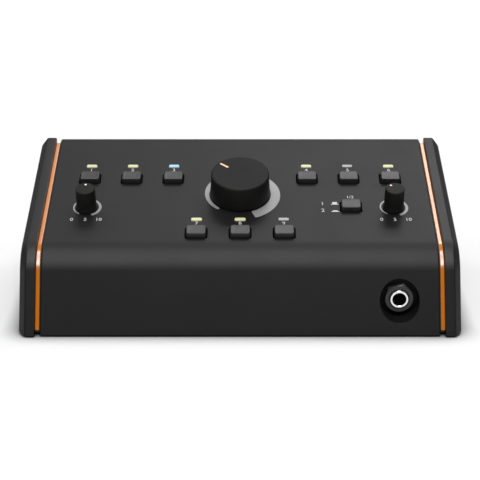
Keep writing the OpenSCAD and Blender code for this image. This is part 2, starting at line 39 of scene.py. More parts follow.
# ------------------------------------------------------------------ dimensions, in mm
BODY_W, BODY_D = 210.0, 111.2
CORNER_Y, CORNER_Z = 18.0, 36.5
SLOPE = math.radians(17.26)
FRONT = math.atan2(CORNER_Z, CORNER_Y)
BEND_R = 22.0
CHEEK_X, HALF_W = 97.2, 105.0
TRIM_X, PLATE_X, WALL_X = 94.8, 95.15, 93.6
CHAMFER, CHAMFER_FOOT = 3.2, 0.25
COVER_DROP, TRIM_DROP, SHEET = 0.6, 1.9, 1.2
FOOT_H = 0.5
NOSE_Y = 0.4 * (1 / math.tan(FRONT / 2) - 1)
Y0 = -(BODY_D + NOSE_Y) / 2
COVER_BACK = BODY_D - 0.2
BACK_Y = BODY_D - 4.2
FLANGE_Y = 13.6
COLS = [34.0, 55.15, 76.3]
MID = 21.3
ROW1, ROW2, LAMP1, LAMP2 = 37.5, 82.3, 26.5, 71.6
SEL_X, SEL_S = 54.9, 61.4
CAP_W, CAP_D, CAP_H = 9.9, 7.4, 2.5
HOLE_W, HOLE_D = 11.0, 8.6
LAMP_W, LAMP_D, LAMP_H = 5.4, 2.3, 0.5
MAIN_S, MAIN_R, MAIN_H = 50.5, 15.05, 12.8
SMALL_X, SMALL_S, SMALL_R, SMALL_H = 75.9, 62.0, 5.3, 12.0
SMALL_ARC_S = 61.6
MAIN_AT, LEFT_AT, RIGHT_AT = 49.5, 0.0, 38.0
JACK_X, SOCK_Z, SOCK_Z2, SOCK_R, FERRULE_R, NUT_AF = 75.6, 14.9, 31.9, 3.25, 4.45, 13.5
BACK_X = [-78.0, -56.0, -34.0, -12.0]
AUX_X, INLET_X, SWITCH_X = 16.0, 52.0, 76.0
SCREWS = [(26.0, 8.0), (98.0, 8.0), (98.0, 48.0)]
FEET = [(-80.0, 24.0), (-80.0, 94.0), (80.0, 24.0), (80.0, 94.0)]


def top_z(y, d):
    return CORNER_Z + (y - CORNER_Y) * math.tan(SLOPE) - d / math.cos(SLOPE)


def front_y(z, d):
    return z / math.tan(FRONT) + d / math.sin(FRONT)


def corner(d):
    y = (CORNER_Z - CORNER_Y * math.tan(SLOPE) - d / math.cos(SLOPE) + d / math.cos(FRONT)) / (
        math.tan(FRONT) - math.tan(SLOPE))
    return (y, (y - d / math.sin(FRONT)) * math.tan(FRONT))


P0Y, P0Z = BODY_D - 0.43, top_z(BODY_D - 0.43, COVER_DROP)


def dev(x, y, z):
    return Vector((x, y + Y0, z + FOOT_H)) * MM


def pan(x, s, n=0.0):
    return dev(x, P0Y - s * math.cos(SLOPE) - n * math.sin(SLOPE), P0Z - s * math.sin(SLOPE) + n * math.cos(SLOPE))


def s_of(y):
    """slope distance of a point of the panel's surface at depth y"""
    return (P0Y - y) / math.cos(SLOPE)


def panel_at(cx, cs):
    """local (right, up the slope, out of the panel) to the row frame, round a point of the panel"""
    return lambda u, v, n: pan(cx + u, cs - v, n)


def back_at(x, z, y):
    """local (right seen from behind is -u, up, out of the back)"""
    return lambda u, v, n: dev(x - u, y + n, z + v)


def front_at(x, z, y):
    return lambda u, v, n: dev(x + u, y - n, z + v)


# ------------------------------------------------------------------ outlines
def fillet(a, b, c, r, n=8):
    a, b, c = Vector(a), Vector(b), Vector(c)
    u, w = (a - b).normalized(), (c - b).normalized()
    h = math.acos(max(-1, min(1, u.dot(w)))) / 2
    m = b + (u + w).normalized() * (r / math.sin(h))
    p, q = b + u * (r / math.tan(h)), b + w * (r / math.tan(h))
    a0 = math.atan2(p.y - m.y, p.x - m.x)
    d = math.atan2(q.y - m.y, q.x - m.x) - a0
    d = d - 2 * math.pi if d > math.pi else d + 2 * math.pi if d < -math.pi else d
    return [(m.x + r * math.cos(a0 + d * i / n), m.y + r * math.sin(a0 + d * i / n)) for i in range(n + 1)]


def rounded(points, radii, n=6):
    """a closed polygon with its corners rounded; radii is one number or one for each corner"""
    k = len(points)
    radii = [radii] * k if isinstance(radii, (int, float)) else radii
    out = []
    for i in range(k):
        out += fillet(points[i - 1], points[i], points[(i + 1) % k], radii[i], n)
    return out


def rrect(w, h, r, n=5):
    return rounded([(w / 2, h / 2), (-w / 2, h / 2), (-w / 2, -h / 2), (w / 2, -h / 2)], r, n)


def outline(d, z0, y1, rb, rk, rf, nb=28, nk=7, nf=6):
    f, c, t, b = (front_y(z0, d), z0), corner(d), (y1, top_z(y1, d)), (y1, z0)
    return (fillet(b, f, c, rf, nf) + fillet(f, c, t, rb, nb) + fillet(c, t, b, rk, nk) + fillet(t, b, f, min(rk, 0.5), 3))


# ------------------------------------------------------------------ mesh building
def inside(p, loop):
    """whether a 2D point is inside a closed outline"""
    hit = False
    for (x0, y0), (x1, y1) in zip(loop, loop[1:] + loop[:1]):
        if (y0 > p.y) != (y1 > p.y) and p.x < x0 + (p.y - y0) / (y1 - y0) * (x1 - x0):
            hit = not hit
    return hit


class Build:
    def __init__(self):
        self.v, self.f = [], []

    def add(self, pts):
        i = len(self.v)
        self.v += [tuple(p) for p in pts]
        return list(range(i, len(self.v)))

    def bridge(self, a, b, closed=True):
        n = len(a)
        for i in range(n if closed else n - 1):
            j = (i + 1) % n
            self.f.append((a[i], a[j], b[j], b[i]))

    def cap(self, loop):
        self.f.append(tuple(loop))

    def rings(self, rings, closed=True, cap0=True, cap1=True):
        idx = [self.add(r) for r in rings]
        for p, q in zip(idx, idx[1:]):
            self.bridge(p, q, closed)
        if cap0:
            self.cap(idx[0])
        if cap1:
            self.cap(idx[-1])
        return idx

    def plate(self, at, outer, holes=()):
        """fills a flat outline with holes; at maps a 2D point to the row frame"""
        pts, edges = [], []
        for loop in [outer, *holes]:
            i = len(pts)
            pts += [Vector(p) for p in loop]
            edges += [(i + k, i + (k + 1) % len(loop)) for k in range(len(loop))]
        v, _, f, *_ = delaunay_2d_cdt(pts, edges, [], 1, 1e-7)
        idx = self.add([at(p.x, p.y) for p in v])
        for t in f:
            c = sum((v[i] for i in t), Vector((0, 0))) / len(t)
            if inside(c, outer) and not any(inside(c, h) for h in holes):
                self.f.append(tuple(idx[i] for i in t))

    def lathe(self, profile, at, seg=96, a0=0.0, closed=False):
        """profile is (radius, height) pairs; a radius of 0 makes a pole. closed joins the last ring to the first."""
        rings = []
        for r, h in profile:
            if r <= 1e-6:
                rings.append(self.add([at(0, 0, h)]))
            else:
                rings.append(self.add([at(r * math.cos(a0 + 2 * math.pi * i / seg), r * math.sin(a0 + 2 * math.pi * i / seg), h)
                                       for i in range(seg)]))
        pairs = list(zip(rings, rings[1:])) + ([(rings[-1], rings[0])] if closed else [])
        for p, q in pairs:
            if len(p) == 1 and len(q) == 1:
                continue
            if len(p) == 1:
                self.f += [(p[0], q[(i + 1) % seg], q[i]) for i in range(seg)]
            elif len(q) == 1:
                self.f += [(p[i], p[(i + 1) % seg], q[0]) for i in range(seg)]
            else:
                self.bridge(p, q)


def piece(name, b, mat, body, replaces=(), slot=None, sharp=32, weighted=True):
    import bmesh
    me = bpy.data.meshes.new(name)
    bm = bmesh.new()
    vs = [bm.verts.new(p) for p in b.v]
    for f in b.f:
        try:
            bm.faces.new([vs[i] for i in f])
        except ValueError:
            pass
    bmesh.ops.remove_doubles(bm, verts=bm.verts, dist=2e-7)
    bmesh.ops.delete(bm, geom=[v for v in bm.verts if not v.link_faces], context="VERTS")
    bmesh.ops.recalc_face_normals(bm, faces=bm.faces)
    bm.to_mesh(me)
    bm.free()
    me.shade_smooth()
    me.set_sharp_from_angle(angle=math.radians(sharp))
    o = bpy.data.objects.new(name, me)
    bpy.context.scene.collection.objects.link(o)
    me.materials.append(mat)
    if weighted:
        w = o.modifiers.new("normals", "WEIGHTED_NORMAL")
        w.keep_sharp = True
        w.weight = 90
    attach(o, body)
    if replaces:
        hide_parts(*replaces)
    return o


# ------------------------------------------------------------------ materials
def nodes_of(name):
    m = bpy.data.materials.new(name)
    m.use_nodes = True
    nt = m.node_tree
    return m, nt, nt.nodes["Principled BSDF"]


def noise(nt, scale, detail=2.0, rough=0.5, coords=None, dist=0.0):
    n = nt.nodes.new("ShaderNodeTexNoise")
    n.inputs["Scale"].default_value = scale
    n.inputs["Detail"].default_value = detail
    n.inputs["Roughness"].default_value = rough
    n.inputs["Distortion"].default_value = dist
    if coords is None:
        coords = nt.nodes.new("ShaderNodeTexCoord").outputs["Object"]
    nt.links.new(coords, n.inputs["Vector"])
    return n.outputs["Fac"]


def ramp(nt, fac, lo, hi, a=0.35, b=0.65):
    r = nt.nodes.new("ShaderNodeValToRGB")
    r.color_ramp.elements[0].position = a
    r.color_ramp.elements[1].position = b
    r.color_ramp.elements[0].color = lo
    r.color_ramp.elements[1].color = hi
    nt.links.new(fac, r.inputs["Fac"])
    return r.outputs["Color"]


def span(nt, fac, lo, hi):
    r = nt.nodes.new("ShaderNodeMapRange")
    r.inputs["To Min"].default_value = lo
    r.inputs["To Max"].default_value = hi
    r.inputs["From Min"].default_value = 0.3
    r.inputs["From Max"].default_value = 0.7
    nt.links.new(fac, r.inputs["Value"])
    return r.outputs["Result"]


def bump(nt, bsdf, height, strength, distance):
    b = nt.nodes.new("ShaderNodeBump")
    b.inputs["Strength"].default_value = strength
    b.inputs["Distance"].default_value = distance
    nt.links.new(height, b.inputs["Height"])
    nt.links.new(b.outputs["Normal"], bsdf.inputs["Normal"])
    return b


def rgb(c, k=1.0):
    return (c[0] * k, c[1] * k, c[2] * k, 1)


def surface(name, color, rough=(0.4, 0.5), metallic=0.0, grain=1600.0, strength=0.12, depth=0.00006, vary=0.12,
            blotch=60.0, spec=0.5, coat=0.0, coat_rough=0.1, ior=1.5, wear=None):
    """a finish with a fine grain in relief, slow changes of colour and roughness, and rubbed edges where wear is given"""
    m, nt, p = nodes_of(name)
    tc = nt.nodes.new("ShaderNodeTexCoord").outputs["Object"]
    slow = noise(nt, blotch, 3.0, 0.55, tc)
    col = ramp(nt, slow, rgb(color, 1 - vary), rgb(color, 1 + vary))
    if wear:
        geo = nt.nodes.new("ShaderNodeNewGeometry")
        edge = nt.nodes.new("ShaderNodeMapRange")
        edge.inputs["From Min"].default_value = 0.53
        edge.inputs["From Max"].default_value = 0.62
        edge.inputs["To Max"].default_value = wear[1]
        nt.links.new(geo.outputs["Pointiness"], edge.inputs["Value"])
        mix = nt.nodes.new("ShaderNodeMix")
        mix.data_type = "RGBA"
        nt.links.new(edge.outputs["Result"], mix.inputs["Factor"])
        nt.links.new(col, mix.inputs["A"])
        mix.inputs["B"].default_value = rgb(wear[0])
        col = mix.outputs["Result"]
    nt.links.new(col, p.inputs["Base Color"])
    fine = noise(nt, grain, 3.0, 0.6, tc)
    nt.links.new(span(nt, noise(nt, blotch * 2.3, 2.0, 0.5, tc), *rough), p.inputs["Roughness"])
    p.inputs["Metallic"].default_value = metallic
    p.inputs["Specular IOR Level"].default_value = spec
    p.inputs["IOR"].default_value = ior
    p.inputs["Coat Weight"].default_value = coat
    p.inputs["Coat Roughness"].default_value = coat_rough
    bump(nt, p, fine, strength, depth)
    return m


def turned(name, color, rough=(0.15, 0.3), metallic=1.0):
    """turned or plated metal: fine rings stretched round the axis"""
    m, nt, p = nodes_of(name)
    tc = nt.nodes.new("ShaderNodeTexCoord").outputs["Object"]
    mp = nt.nodes.new("ShaderNodeMapping")
    mp.inputs["Scale"].default_value = (60, 6000, 60)
    nt.links.new(tc, mp.inputs["Vector"])
    f = noise(nt, 1.0, 2.0, 0.5, mp.outputs["Vector"])
    nt.links.new(ramp(nt, f, rgb(color, 0.9), rgb(color, 1.05)), p.inputs["Base Color"])
    nt.links.new(span(nt, f, *rough), p.inputs["Roughness"])
    p.inputs["Metallic"].default_value = metallic
    bump(nt, p, f, 0.05, 0.00003)
    return m


def board(name):
    """solder mask over copper tracks"""
    m, nt, p = nodes_of(name)
    tc = nt.nodes.new("ShaderNodeTexCoord").outputs["Object"]
    br = nt.nodes.new("ShaderNodeTexBrick")
    br.inputs["Scale"].default_value = 180
    br.inputs["Mortar Size"].default_value = 0.08
    br.inputs["Color1"].default_value = (0.010, 0.075, 0.028, 1)
    br.inputs["Color2"].default_value = (0.012, 0.090, 0.034, 1)
    br.inputs["Mortar"].default_value = (0.030, 0.170, 0.070, 1)
    nt.links.new(tc, br.inputs["Vector"])
    nt.links.new(br.outputs["Color"], p.inputs["Base Color"])
    nt.links.new(span(nt, noise(nt, 900, 2, 0.5, tc), 0.25, 0.4), p.inputs["Roughness"])
    bump(nt, p, br.outputs["Fac"], 0.3, 0.00004)
    return m


def lamp_lens(name, color, emit, strength, mottle=0.12):
    m, nt, p = nodes_of(name)
    tc = nt.nodes.new("ShaderNodeTexCoord").outputs["Object"]
    f = noise(nt, 700, 2, 0.5, tc)
    nt.links.new(ramp(nt, f, rgb(color, 1 - mottle), rgb(color)), p.inputs["Base Color"])
    nt.links.new(span(nt, f, 0.25, 0.4), p.inputs["Roughness"])
    if strength:
        nt.links.new(ramp(nt, f, rgb(emit, 1 - mottle), rgb(emit)), p.inputs["Emission Color"])
        p.inputs["Emission Strength"].default_value = strength
    bump(nt, p, f, 0.05, 0.00003)
    return m


MAT = {
    "cover": surface("cover_coat", (0.0058, 0.0058, 0.0060), (0.43, 0.46), grain=2600, strength=0.22, depth=0.00004, vary=0.06, blotch=18, spec=0.28),
    "chassis": surface("chassis_coat", (0.008, 0.008, 0.0082), (0.45, 0.55), grain=2600, strength=0.22, depth=0.00004, vary=0.08, blotch=18),
    # painted shade: a darker, less glossy copy of the chassis coat that blacks out the flange seen inside the headphone
    # recess
    "flange": surface("flange_coat_painted_shade", (0.0035, 0.0035, 0.0036), (0.50, 0.60), grain=2600, strength=0.22, depth=0.00004, vary=0.08, blotch=18, spec=0.12),
    "cheek": surface("cheek_coat", (0.0072, 0.0072, 0.0073), (0.38, 0.42), grain=2300, strength=0.26, depth=0.00005, vary=0.06, blotch=22, spec=0.31),
    "trim": surface("trim_orange", (0.66, 0.186, 0.004), (0.16, 0.20), grain=1200, strength=0.02, depth=0.00002, vary=0.03, blotch=40, coat=1.0, coat_rough=0.12, spec=1.0),
    "knob": surface("knob_plastic", (0.0100, 0.0097, 0.0094), (0.46, 0.50), grain=3200, strength=0.14, depth=0.00003, vary=0.06, blotch=40, spec=0.14),
    "small_knob": surface("small_knob_plastic", (0.0088, 0.0090, 0.0082), (0.46, 0.50), grain=3200, strength=0.14, depth=0.00003, vary=0.06, blotch=60, spec=0.16),
    "button": surface("button_plastic", (0.020, 0.020, 0.0205), (0.32, 0.35), grain=3600, strength=0.10, depth=0.00003, vary=0.04, blotch=60, spec=0.47),
    "pointer": surface("pointer_print", (1.0, 0.62, 0.38), (0.35, 0.45), grain=4000, strength=0.05, depth=0.00002, vary=0.04, blotch=300),
    "dot": surface("dot_print", (0.92, 0.90, 0.87), (0.35, 0.45), grain=4000, strength=0.05, depth=0.00002, vary=0.04, blotch=300),
    "dot_pink": surface("dot_print_warm", (0.95, 0.74, 0.72), (0.35, 0.45), grain=4000, strength=0.05, depth=0.00002, vary=0.04, blotch=300),
    "print": surface("panel_print", (0.62, 0.62, 0.63), (0.45, 0.55), grain=2600, strength=0.10, depth=0.00003, vary=0.05, blotch=90),
    "arc": surface("arc_print", (0.305, 0.305, 0.31), (0.42, 0.50), grain=2600, strength=0.12, depth=0.00003, vary=0.05, blotch=60, metallic=0.25, spec=0.4),
    "collar": surface("collar_plastic", (0.0075, 0.0075, 0.0075), (0.50, 0.60), grain=2600, strength=0.14, depth=0.00004, vary=0.10, blotch=120, spec=0.08),
    "nut": surface("nut_plastic", (0.012, 0.012, 0.012), (0.28, 0.38), grain=2600, strength=0.10, depth=0.00004, vary=0.15, blotch=160),
    "screw": surface("screw_oxide", (0.030, 0.030, 0.031), (0.30, 0.42), metallic=0.6, grain=2400, strength=0.10, depth=0.00003, vary=0.15, blotch=200),
    "rubber": surface("foot_rubber", (0.020, 0.020, 0.020), (0.70, 0.85), grain=1500, strength=0.30, depth=0.00006, vary=0.15, blotch=200),
    "part": surface("moulded_black", (0.020, 0.020, 0.021), (0.45, 0.60), grain=1800, strength=0.20, depth=0.00005, vary=0.12, blotch=120),
    "relay": surface("relay_case", (0.70, 0.70, 0.66), (0.40, 0.50), grain=1800, strength=0.10, vary=0.04, blotch=90),
    "cap": surface("capacitor_sleeve", (0.03, 0.05, 0.20), (0.25, 0.35), grain=900, strength=0.05, vary=0.06, blotch=90, coat=0.3),
    "ribbon": surface("ribbon_cable", (0.42, 0.42, 0.44), (0.45, 0.55), grain=900, strength=0.20, vary=0.06, blotch=90),
    "board": board("board_mask"),
    "ferrule": turned("ferrule_plate", (0.86, 0.86, 0.87), (0.10, 0.20)),
    "zinc": turned("zinc_plate", (0.62, 0.62, 0.63), (0.25, 0.40)),
    "brass": turned("standoff_brass", (0.72, 0.55, 0.25), (0.25, 0.35)),
    "steel": turned("shaft_steel", (0.66, 0.66, 0.67), (0.25, 0.38)),
    "lit": lamp_lens("lamp_warm", (0.55, 0.54, 0.31), (1.0, 0.98, 0.62), 0.22),
    "blue": lamp_lens("lamp_blue", (0.34, 0.50, 0.62), (0.40, 0.72, 1.0), 0.27),
    "dark": lamp_lens("lamp_dark", (0.39, 0.39, 0.40), (0, 0, 0), 0.0),
}

# ------------------------------------------------------------------ case
EDGE_R = 0.9


def sheet_path(d):
    """side profile of the sheet, d below its outer surface, from the front return flange to the back lip"""
    D = COVER_DROP + d
    z0, y1 = d, COVER_BACK - d
    e0, f, c, t = (FLANGE_Y - 0.2, z0), (front_y(z0, D), z0), corner(D), (y1, top_z(y1, D))
    e1 = (y1, top_z(COVER_BACK, 0) - 6.4)
    foot = fillet(e0, f, c, max(0.2, 0.5 - d), 5)
    bend = fillet(f, c, t, BEND_R - COVER_DROP - d, 30)
    rear = fillet(c, t, e1, 1.6 - d, 8)
    return [e0] + foot + bend + rear + [e1], len(foot), len(bend)


def panel_holes(grow):
    """outlines, in (x, s), of the panel's cutouts, grown by grow"""
    out = []

    def rect(x, s, w, h, r):
        out.append([(x + u, s - v) for u, v in rrect(w + 2 * grow, h + 2 * grow, r + grow, 6)])

    for m in (-1, 1):
        for c in COLS:
            rect(m * c, ROW1, HOLE_W, HOLE_D, 1.0)
            rect(m * c, LAMP1, LAMP_W + 0.2, LAMP_D + 0.2, 0.9)
    for i in (-1, 0, 1):
        rect(i * MID, ROW2, HOLE_W, HOLE_D, 1.0)
        rect(i * MID, LAMP2, LAMP_W + 0.2, LAMP_D + 0.2, 0.9)
    rect(SEL_X, SEL_S, HOLE_W, HOLE_D, 1.0)
    for x, s, r in ((0, MAIN_S, 4.6), (-SMALL_X, SMALL_S, 4.0), (SMALL_X, SMALL_S, 4.0)):
        out.append([(x + (r + grow) * math.cos(a), s + (r + grow) * math.sin(a)) for a in [2 * math.pi * i / 40 for i in range(40)]])
    return out


def front_hole(grow):
    return [(JACK_X + (9.5 + grow) * math.cos(a), SOCK_Z + (9.5 + grow) * math.sin(a)) for a in [2 * math.pi * i / 96 for i in range(96)]]


def make_cover():
    b = Build()
    section = [(-(TRIM_X - EDGE_R), 0.0), (TRIM_X - EDGE_R, 0.0)]
    section += [(TRIM_X - EDGE_R + EDGE_R * math.sin(a), EDGE_R * (1 - math.cos(a))) for a in [math.pi / 2 * i / 7 for i in range(1, 8)]]
    section += [(TRIM_X, SHEET), (-TRIM_X, SHEET)]
    section += [(-x, d) for x, d in reversed(section[2:9])]
    path0, nf, nb = sheet_path(0)
    i_front, i_bend = nf, nf + nb            # first point after the front plane, first after the panel plane
    rows = []
    for x, d in section:
        p, _, _ = sheet_path(d)
        rows.append(b.add([dev(x, y, z) for y, z in p]))
    k = len(section)
    for j in range(k):
        p, q = rows[j], rows[(j + 1) % k]
        flat = (j == 0) or (section[j][1] == SHEET and section[(j + 1) % k][1] == SHEET)
        for i in range(len(p) - 1):
            if flat and i in (i_front, i_bend):
                continue
            b.f.append((p[i], q[i], q[i + 1], p[i + 1]))
    b.cap([r[0] for r in rows])
    b.cap([r[-1] for r in rows])
    # the panel and the front, outside and inside, with their cutouts
    for x1, d, grow, hole in ((TRIM_X - EDGE_R, 0.0, 0.16, 0.08), (TRIM_X, SHEET, 0.0, 0.0)):
        p, _, _ = sheet_path(d)
        D = COVER_DROP + d
        f0, f1 = p[i_front], p[i_front + 1]
        b.plate(lambda x, z, D=D: dev(x, front_y(z, D), z), [(-x1, f0[1]), (x1, f0[1]), (x1, f1[1]), (-x1, f1[1])], [front_hole(hole)])
        t0, t1 = p[i_bend], p[i_bend + 1]
        s0, s1 = [s_of(t[0] - d * math.sin(SLOPE)) for t in (t0, t1)]
        b.plate(lambda x, s, d=d: pan(x, s, -d), [(-x1, s0), (x1, s0), (x1, s1), (-x1, s1)], panel_holes(grow))
    for a, c in zip(panel_holes(0.16), panel_holes(0.0)):
        b.rings([[pan(x, s, 0) for x, s in a],
                 [pan(x + (u - x) * 0.7, s + (v - s) * 0.7, -0.05) for (x, s), (u, v) in zip(a, c)],
                 [pan(x, s, -0.16) for x, s in c], [pan(x, s, -SHEET) for x, s in c]], cap0=False, cap1=False)
    a, c = front_hole(0.08), front_hole(0.0)
    b.rings([[dev(x, front_y(z, COVER_DROP), z) for x, z in a],
             [dev(x, front_y(z, COVER_DROP + 0.08), z) for x, z in c],
             [dev(x, front_y(z, COVER_DROP + SHEET), z) for x, z in c]], cap0=False, cap1=False)
    return piece("cover_shell", b, MAT["cover"], "case", ["top_cover"], "case_black")


def make_side(m, name, node):
    """a cheek: softened inner edge, wide chamfer with softened ends, countersunk screw holes"""
    b = Build()
    sec = [(CHEEK_X, 0.40), (CHEEK_X + 0.12, 0.12), (CHEEK_X + 0.40, 0.0)]
    sec += fillet((CHEEK_X + 1, 0), (HALF_W - CHAMFER, 0), (HALF_W, CHAMFER), 1.6, 5)
    sec += fillet((HALF_W - CHAMFER, 0), (HALF_W, CHAMFER), (HALF_W, CHAMFER + 3), 1.6, 5)
    rings = []
    for x, d in sec:
        rings.append([(x, y, z) for y, z in outline(d, d * CHAMFER_FOOT, BODY_D - d, BEND_R - d, max(0.35, 1.6 - d), 0.4)])
    idx = [b.add([dev(m * x, y, z) for x, y, z in r]) for r in rings]
    for p, q in zip(idx, idx[1:]):
        b.bridge(p, q)

    def circle(c, r, n=48):
        return [(c[0] + r * math.cos(2 * math.pi * i / n), c[1] + r * math.sin(2 * math.pi * i / n)) for i in range(n)]

    for x, ring, r in ((sec[0][0], rings[0], 1.5), (sec[-1][0], rings[-1], 3.5)):
        b.plate(lambda y, z, x=x: dev(m * x, y, z), [(y, z) for _, y, z in ring], [circle(c, r) for c in SCREWS])
    for c in SCREWS:
        b.rings([[dev(m * x, y, z) for y, z in circle(c, r)] for x, r in ((HALF_W, 3.5), (HALF_W - 0.15, 3.32), (HALF_W - 1.9, 1.5), (CHEEK_X, 1.5))],
                cap0=False, cap1=False)
    return piece(name, b, MAT["cheek"], "case", [node], "cheek_black")


def make_trim(m, name, node):
    b = Build()
    r = 0.35
    sec = [(PLATE_X + r * (1 - math.sin(a)), r * (1 - math.cos(a))) for a in [math.pi / 2 * i / 4 for i in range(4, -1, -1)]]
    sec += [(CHEEK_X - r * (1 - math.sin(a)), r * (1 - math.cos(a))) for a in [math.pi / 2 * i / 4 for i in range(0, 5)]]
    rings = []
    for x, d in sec:
        rings.append([dev(m * x, y, z) for y, z in outline(TRIM_DROP + d, 1.6 + d, BODY_D - 1.8 - d, BEND_R - TRIM_DROP - d, 1.2, 0.6)])
    b.rings(rings)
    return piece(name, b, MAT["trim"], "case", [node], "trim_orange")


def make_cheek_screws():
    b = Build()
    for m in (-1, 1):
        for y, z in SCREWS:
            def at(u, v, n, m=m, y=y, z=z):
                return dev(m * n, y + u, z + v)
            prof = [(1.5, WALL_X - 5), (1.5, HALF_W - 1.9), (3.05, HALF_W - 0.42), (3.05, HALF_W - 0.36), (2.9, HALF_W - 0.3), (1.5, HALF_W - 0.3)]
            n = 48
            rings = [[at(r * math.cos(2 * math.pi * i / n), r * math.sin(2 * math.pi * i / n), h) for i in range(n)] for r, h in prof]
            hexa = []
            for r, h in ((1.15, HALF_W - 0.3), (1.05, HALF_W - 0.45), (1.05, HALF_W - 1.5)):
                ring = []
                for i in range(n):
                    a = 2 * math.pi * i / n
                    k = (a + math.pi / 6) % (math.pi / 3) - math.pi / 6
                    q = r * math.cos(math.pi / 6) / math.cos(k)
                    ring.append(at(q * math.cos(a), q * math.sin(a), h))
                hexa.append(ring)
            b.rings(rings + hexa)
    return piece("cheek_screw_heads", b, MAT["screw"], "case", ["cheek_screws"], "screw_black")


# ------------------------------------------------------------------ controls
def make_button(name, at, body, w=CAP_W, d=CAP_D, h=CAP_H, low=-3.0, stem=(3.0, 3.0, -7.0), node=None):
    """a push-button cap: slightly tapered sides, rounded top edge, a shallow dish in the top, its stem below"""
    b = Build()
    sec = [(0.25, low), (0.0, low + 0.25), (0.0, 0.1)]
    taper, r = 0.25, 0.45
    sec += [(taper * t, 0.1 + (h - r - 0.1) * t) for t in (0.5, 1.0)]
    sec += [(taper + r * (1 - math.cos(a)), h - r + r * math.sin(a)) for a in [math.pi / 2 * i / 6 for i in range(1, 7)]]
    sec += [(taper + r + 0.5, h - 0.015), (taper + r + 1.2, h - 0.05), (taper + r + 2.0, h - 0.07)]
    rings = []
    for o, z in sec:
        rr = max(0.25, 0.95 - o * 0.35)
        rings.append([at(u, v, z) for u, v in rrect(w - 2 * o, d - 2 * o, rr, 7)])
    b.rings(rings)
    sw, sd, s0 = stem
    b.rings([[at(u, v, z) for u, v in rrect(sw, sd, 0.2, 3)] for z in (s0, low + 0.05)])
    return piece(name, b, MAT["button"], body, [node or body], "button_black")


def knob_profile(outer, h, gap, hollow, shaft, top_r, dish=0.0):
    """outer is the side's (radius, height) points from the foot up to the top edge"""
    side = outer[:-1] + fillet(outer[-2], outer[-1], (0, h), top_r, 7)
    prof = [(0, hollow[1] if hollow else h - 2), (shaft, hollow[1] if hollow else h - 2)]
    if hollow:
        prof = [(0, hollow[1]), (hollow[0], hollow[1]), (hollow[0], gap)]
    else:
        prof = [(0, gap)]
    prof += [(side[0][0] - 0.3, gap)] + side
    if dish:
        prof += [(side[-1][0] - 1.0, h - dish * 0.6), (side[-1][0] - 2.2, h - dish), (0, h - dish)]
    else:
        prof += [(0, h)]
    return prof


def bar_mark(name, at, mat, body, node, slot, w, r0, r1, angle, h0, h1):
    """a rounded bar inlaid in a knob's top, along a radius"""
    b = Build()
    ca, sa = math.cos(math.radians(angle)), math.sin(math.radians(angle))
    cen = (r0 + r1) / 2
    for_ring = []
    for o, z in ((0, h0), (0, h1 - 0.015), (0.03, h1)):
        for_ring.append([at(u * ca - (v + cen) * sa, u * sa + (v + cen) * ca, z) for u, v in rrect(w - 2 * o, r1 - r0 - 2 * o, (w - 2 * o) / 2 * 0.98, 8)])
    b.rings(for_ring)
    return piece(name, b, mat, body, [node], slot)


def make_knobs():
    at = panel_at(0, MAIN_S)
    b = Build()
    prof = knob_profile([(MAIN_R - 0.12, 0.5), (MAIN_R, 0.75), (MAIN_R - 0.14, 2.4), (MAIN_R - 0.40, MAIN_H / 2), (MAIN_R - 0.72, MAIN_H)], MAIN_H, 0.5, (10.5, 3.8), 3.0, 0.9)
    b.lathe(prof, at, 160)
    piece("main_knob_cap", b, MAT["knob"], "main_knob", ["main_knob"], "knob_black", sharp=28)
    bar_mark("main_knob_line", at, MAT["pointer"], "main_knob", "main_knob_pointer", "pointer_orange", 1.1, 7.7, 13.0, MAIN_AT, MAIN_H - 0.25, MAIN_H + 0.02)
    for m, body, ang, mat in ((-1, "left_knob", LEFT_AT, "dot"), (1, "right_knob", RIGHT_AT, "dot_pink")):
        at = panel_at(m * SMALL_X, SMALL_S)
        b = Build()
        side = [(SMALL_R - 0.1, 0.45), (SMALL_R, 0.62), (SMALL_R - 0.12, 1.1), (SMALL_R - 0.25, 1.8), (SMALL_R - 0.34, 2.6), (SMALL_R - 0.39, 3.6), (SMALL_R - 0.42, 4.8),
                (SMALL_R - 0.45, 6.5), (SMALL_R - 0.49, 9.0), (SMALL_R - 0.55, SMALL_H)]
        b.lathe(knob_profile(side, SMALL_H, 0.45, None, 2.5, 0.55), at, 96)
        piece(body + "_cap", b, MAT["small_knob"], body, [body], "knob_black", sharp=28)
        b = Build()
        ca, sa = -math.sin(math.radians(ang)) * 3.0, math.cos(math.radians(ang)) * 3.0
        b.lathe([(0, SMALL_H - 0.2), (0.55, SMALL_H - 0.2), (0.55, SMALL_H), (0.50, SMALL_H + 0.02), (0, SMALL_H + 0.02)],
                lambda u, v, n, at=at, ca=ca, sa=sa: at(u + ca, v + sa, n), 32)
        piece(body + "_mark", b, MAT[mat], body, [body + "_dot"], "dot_white")


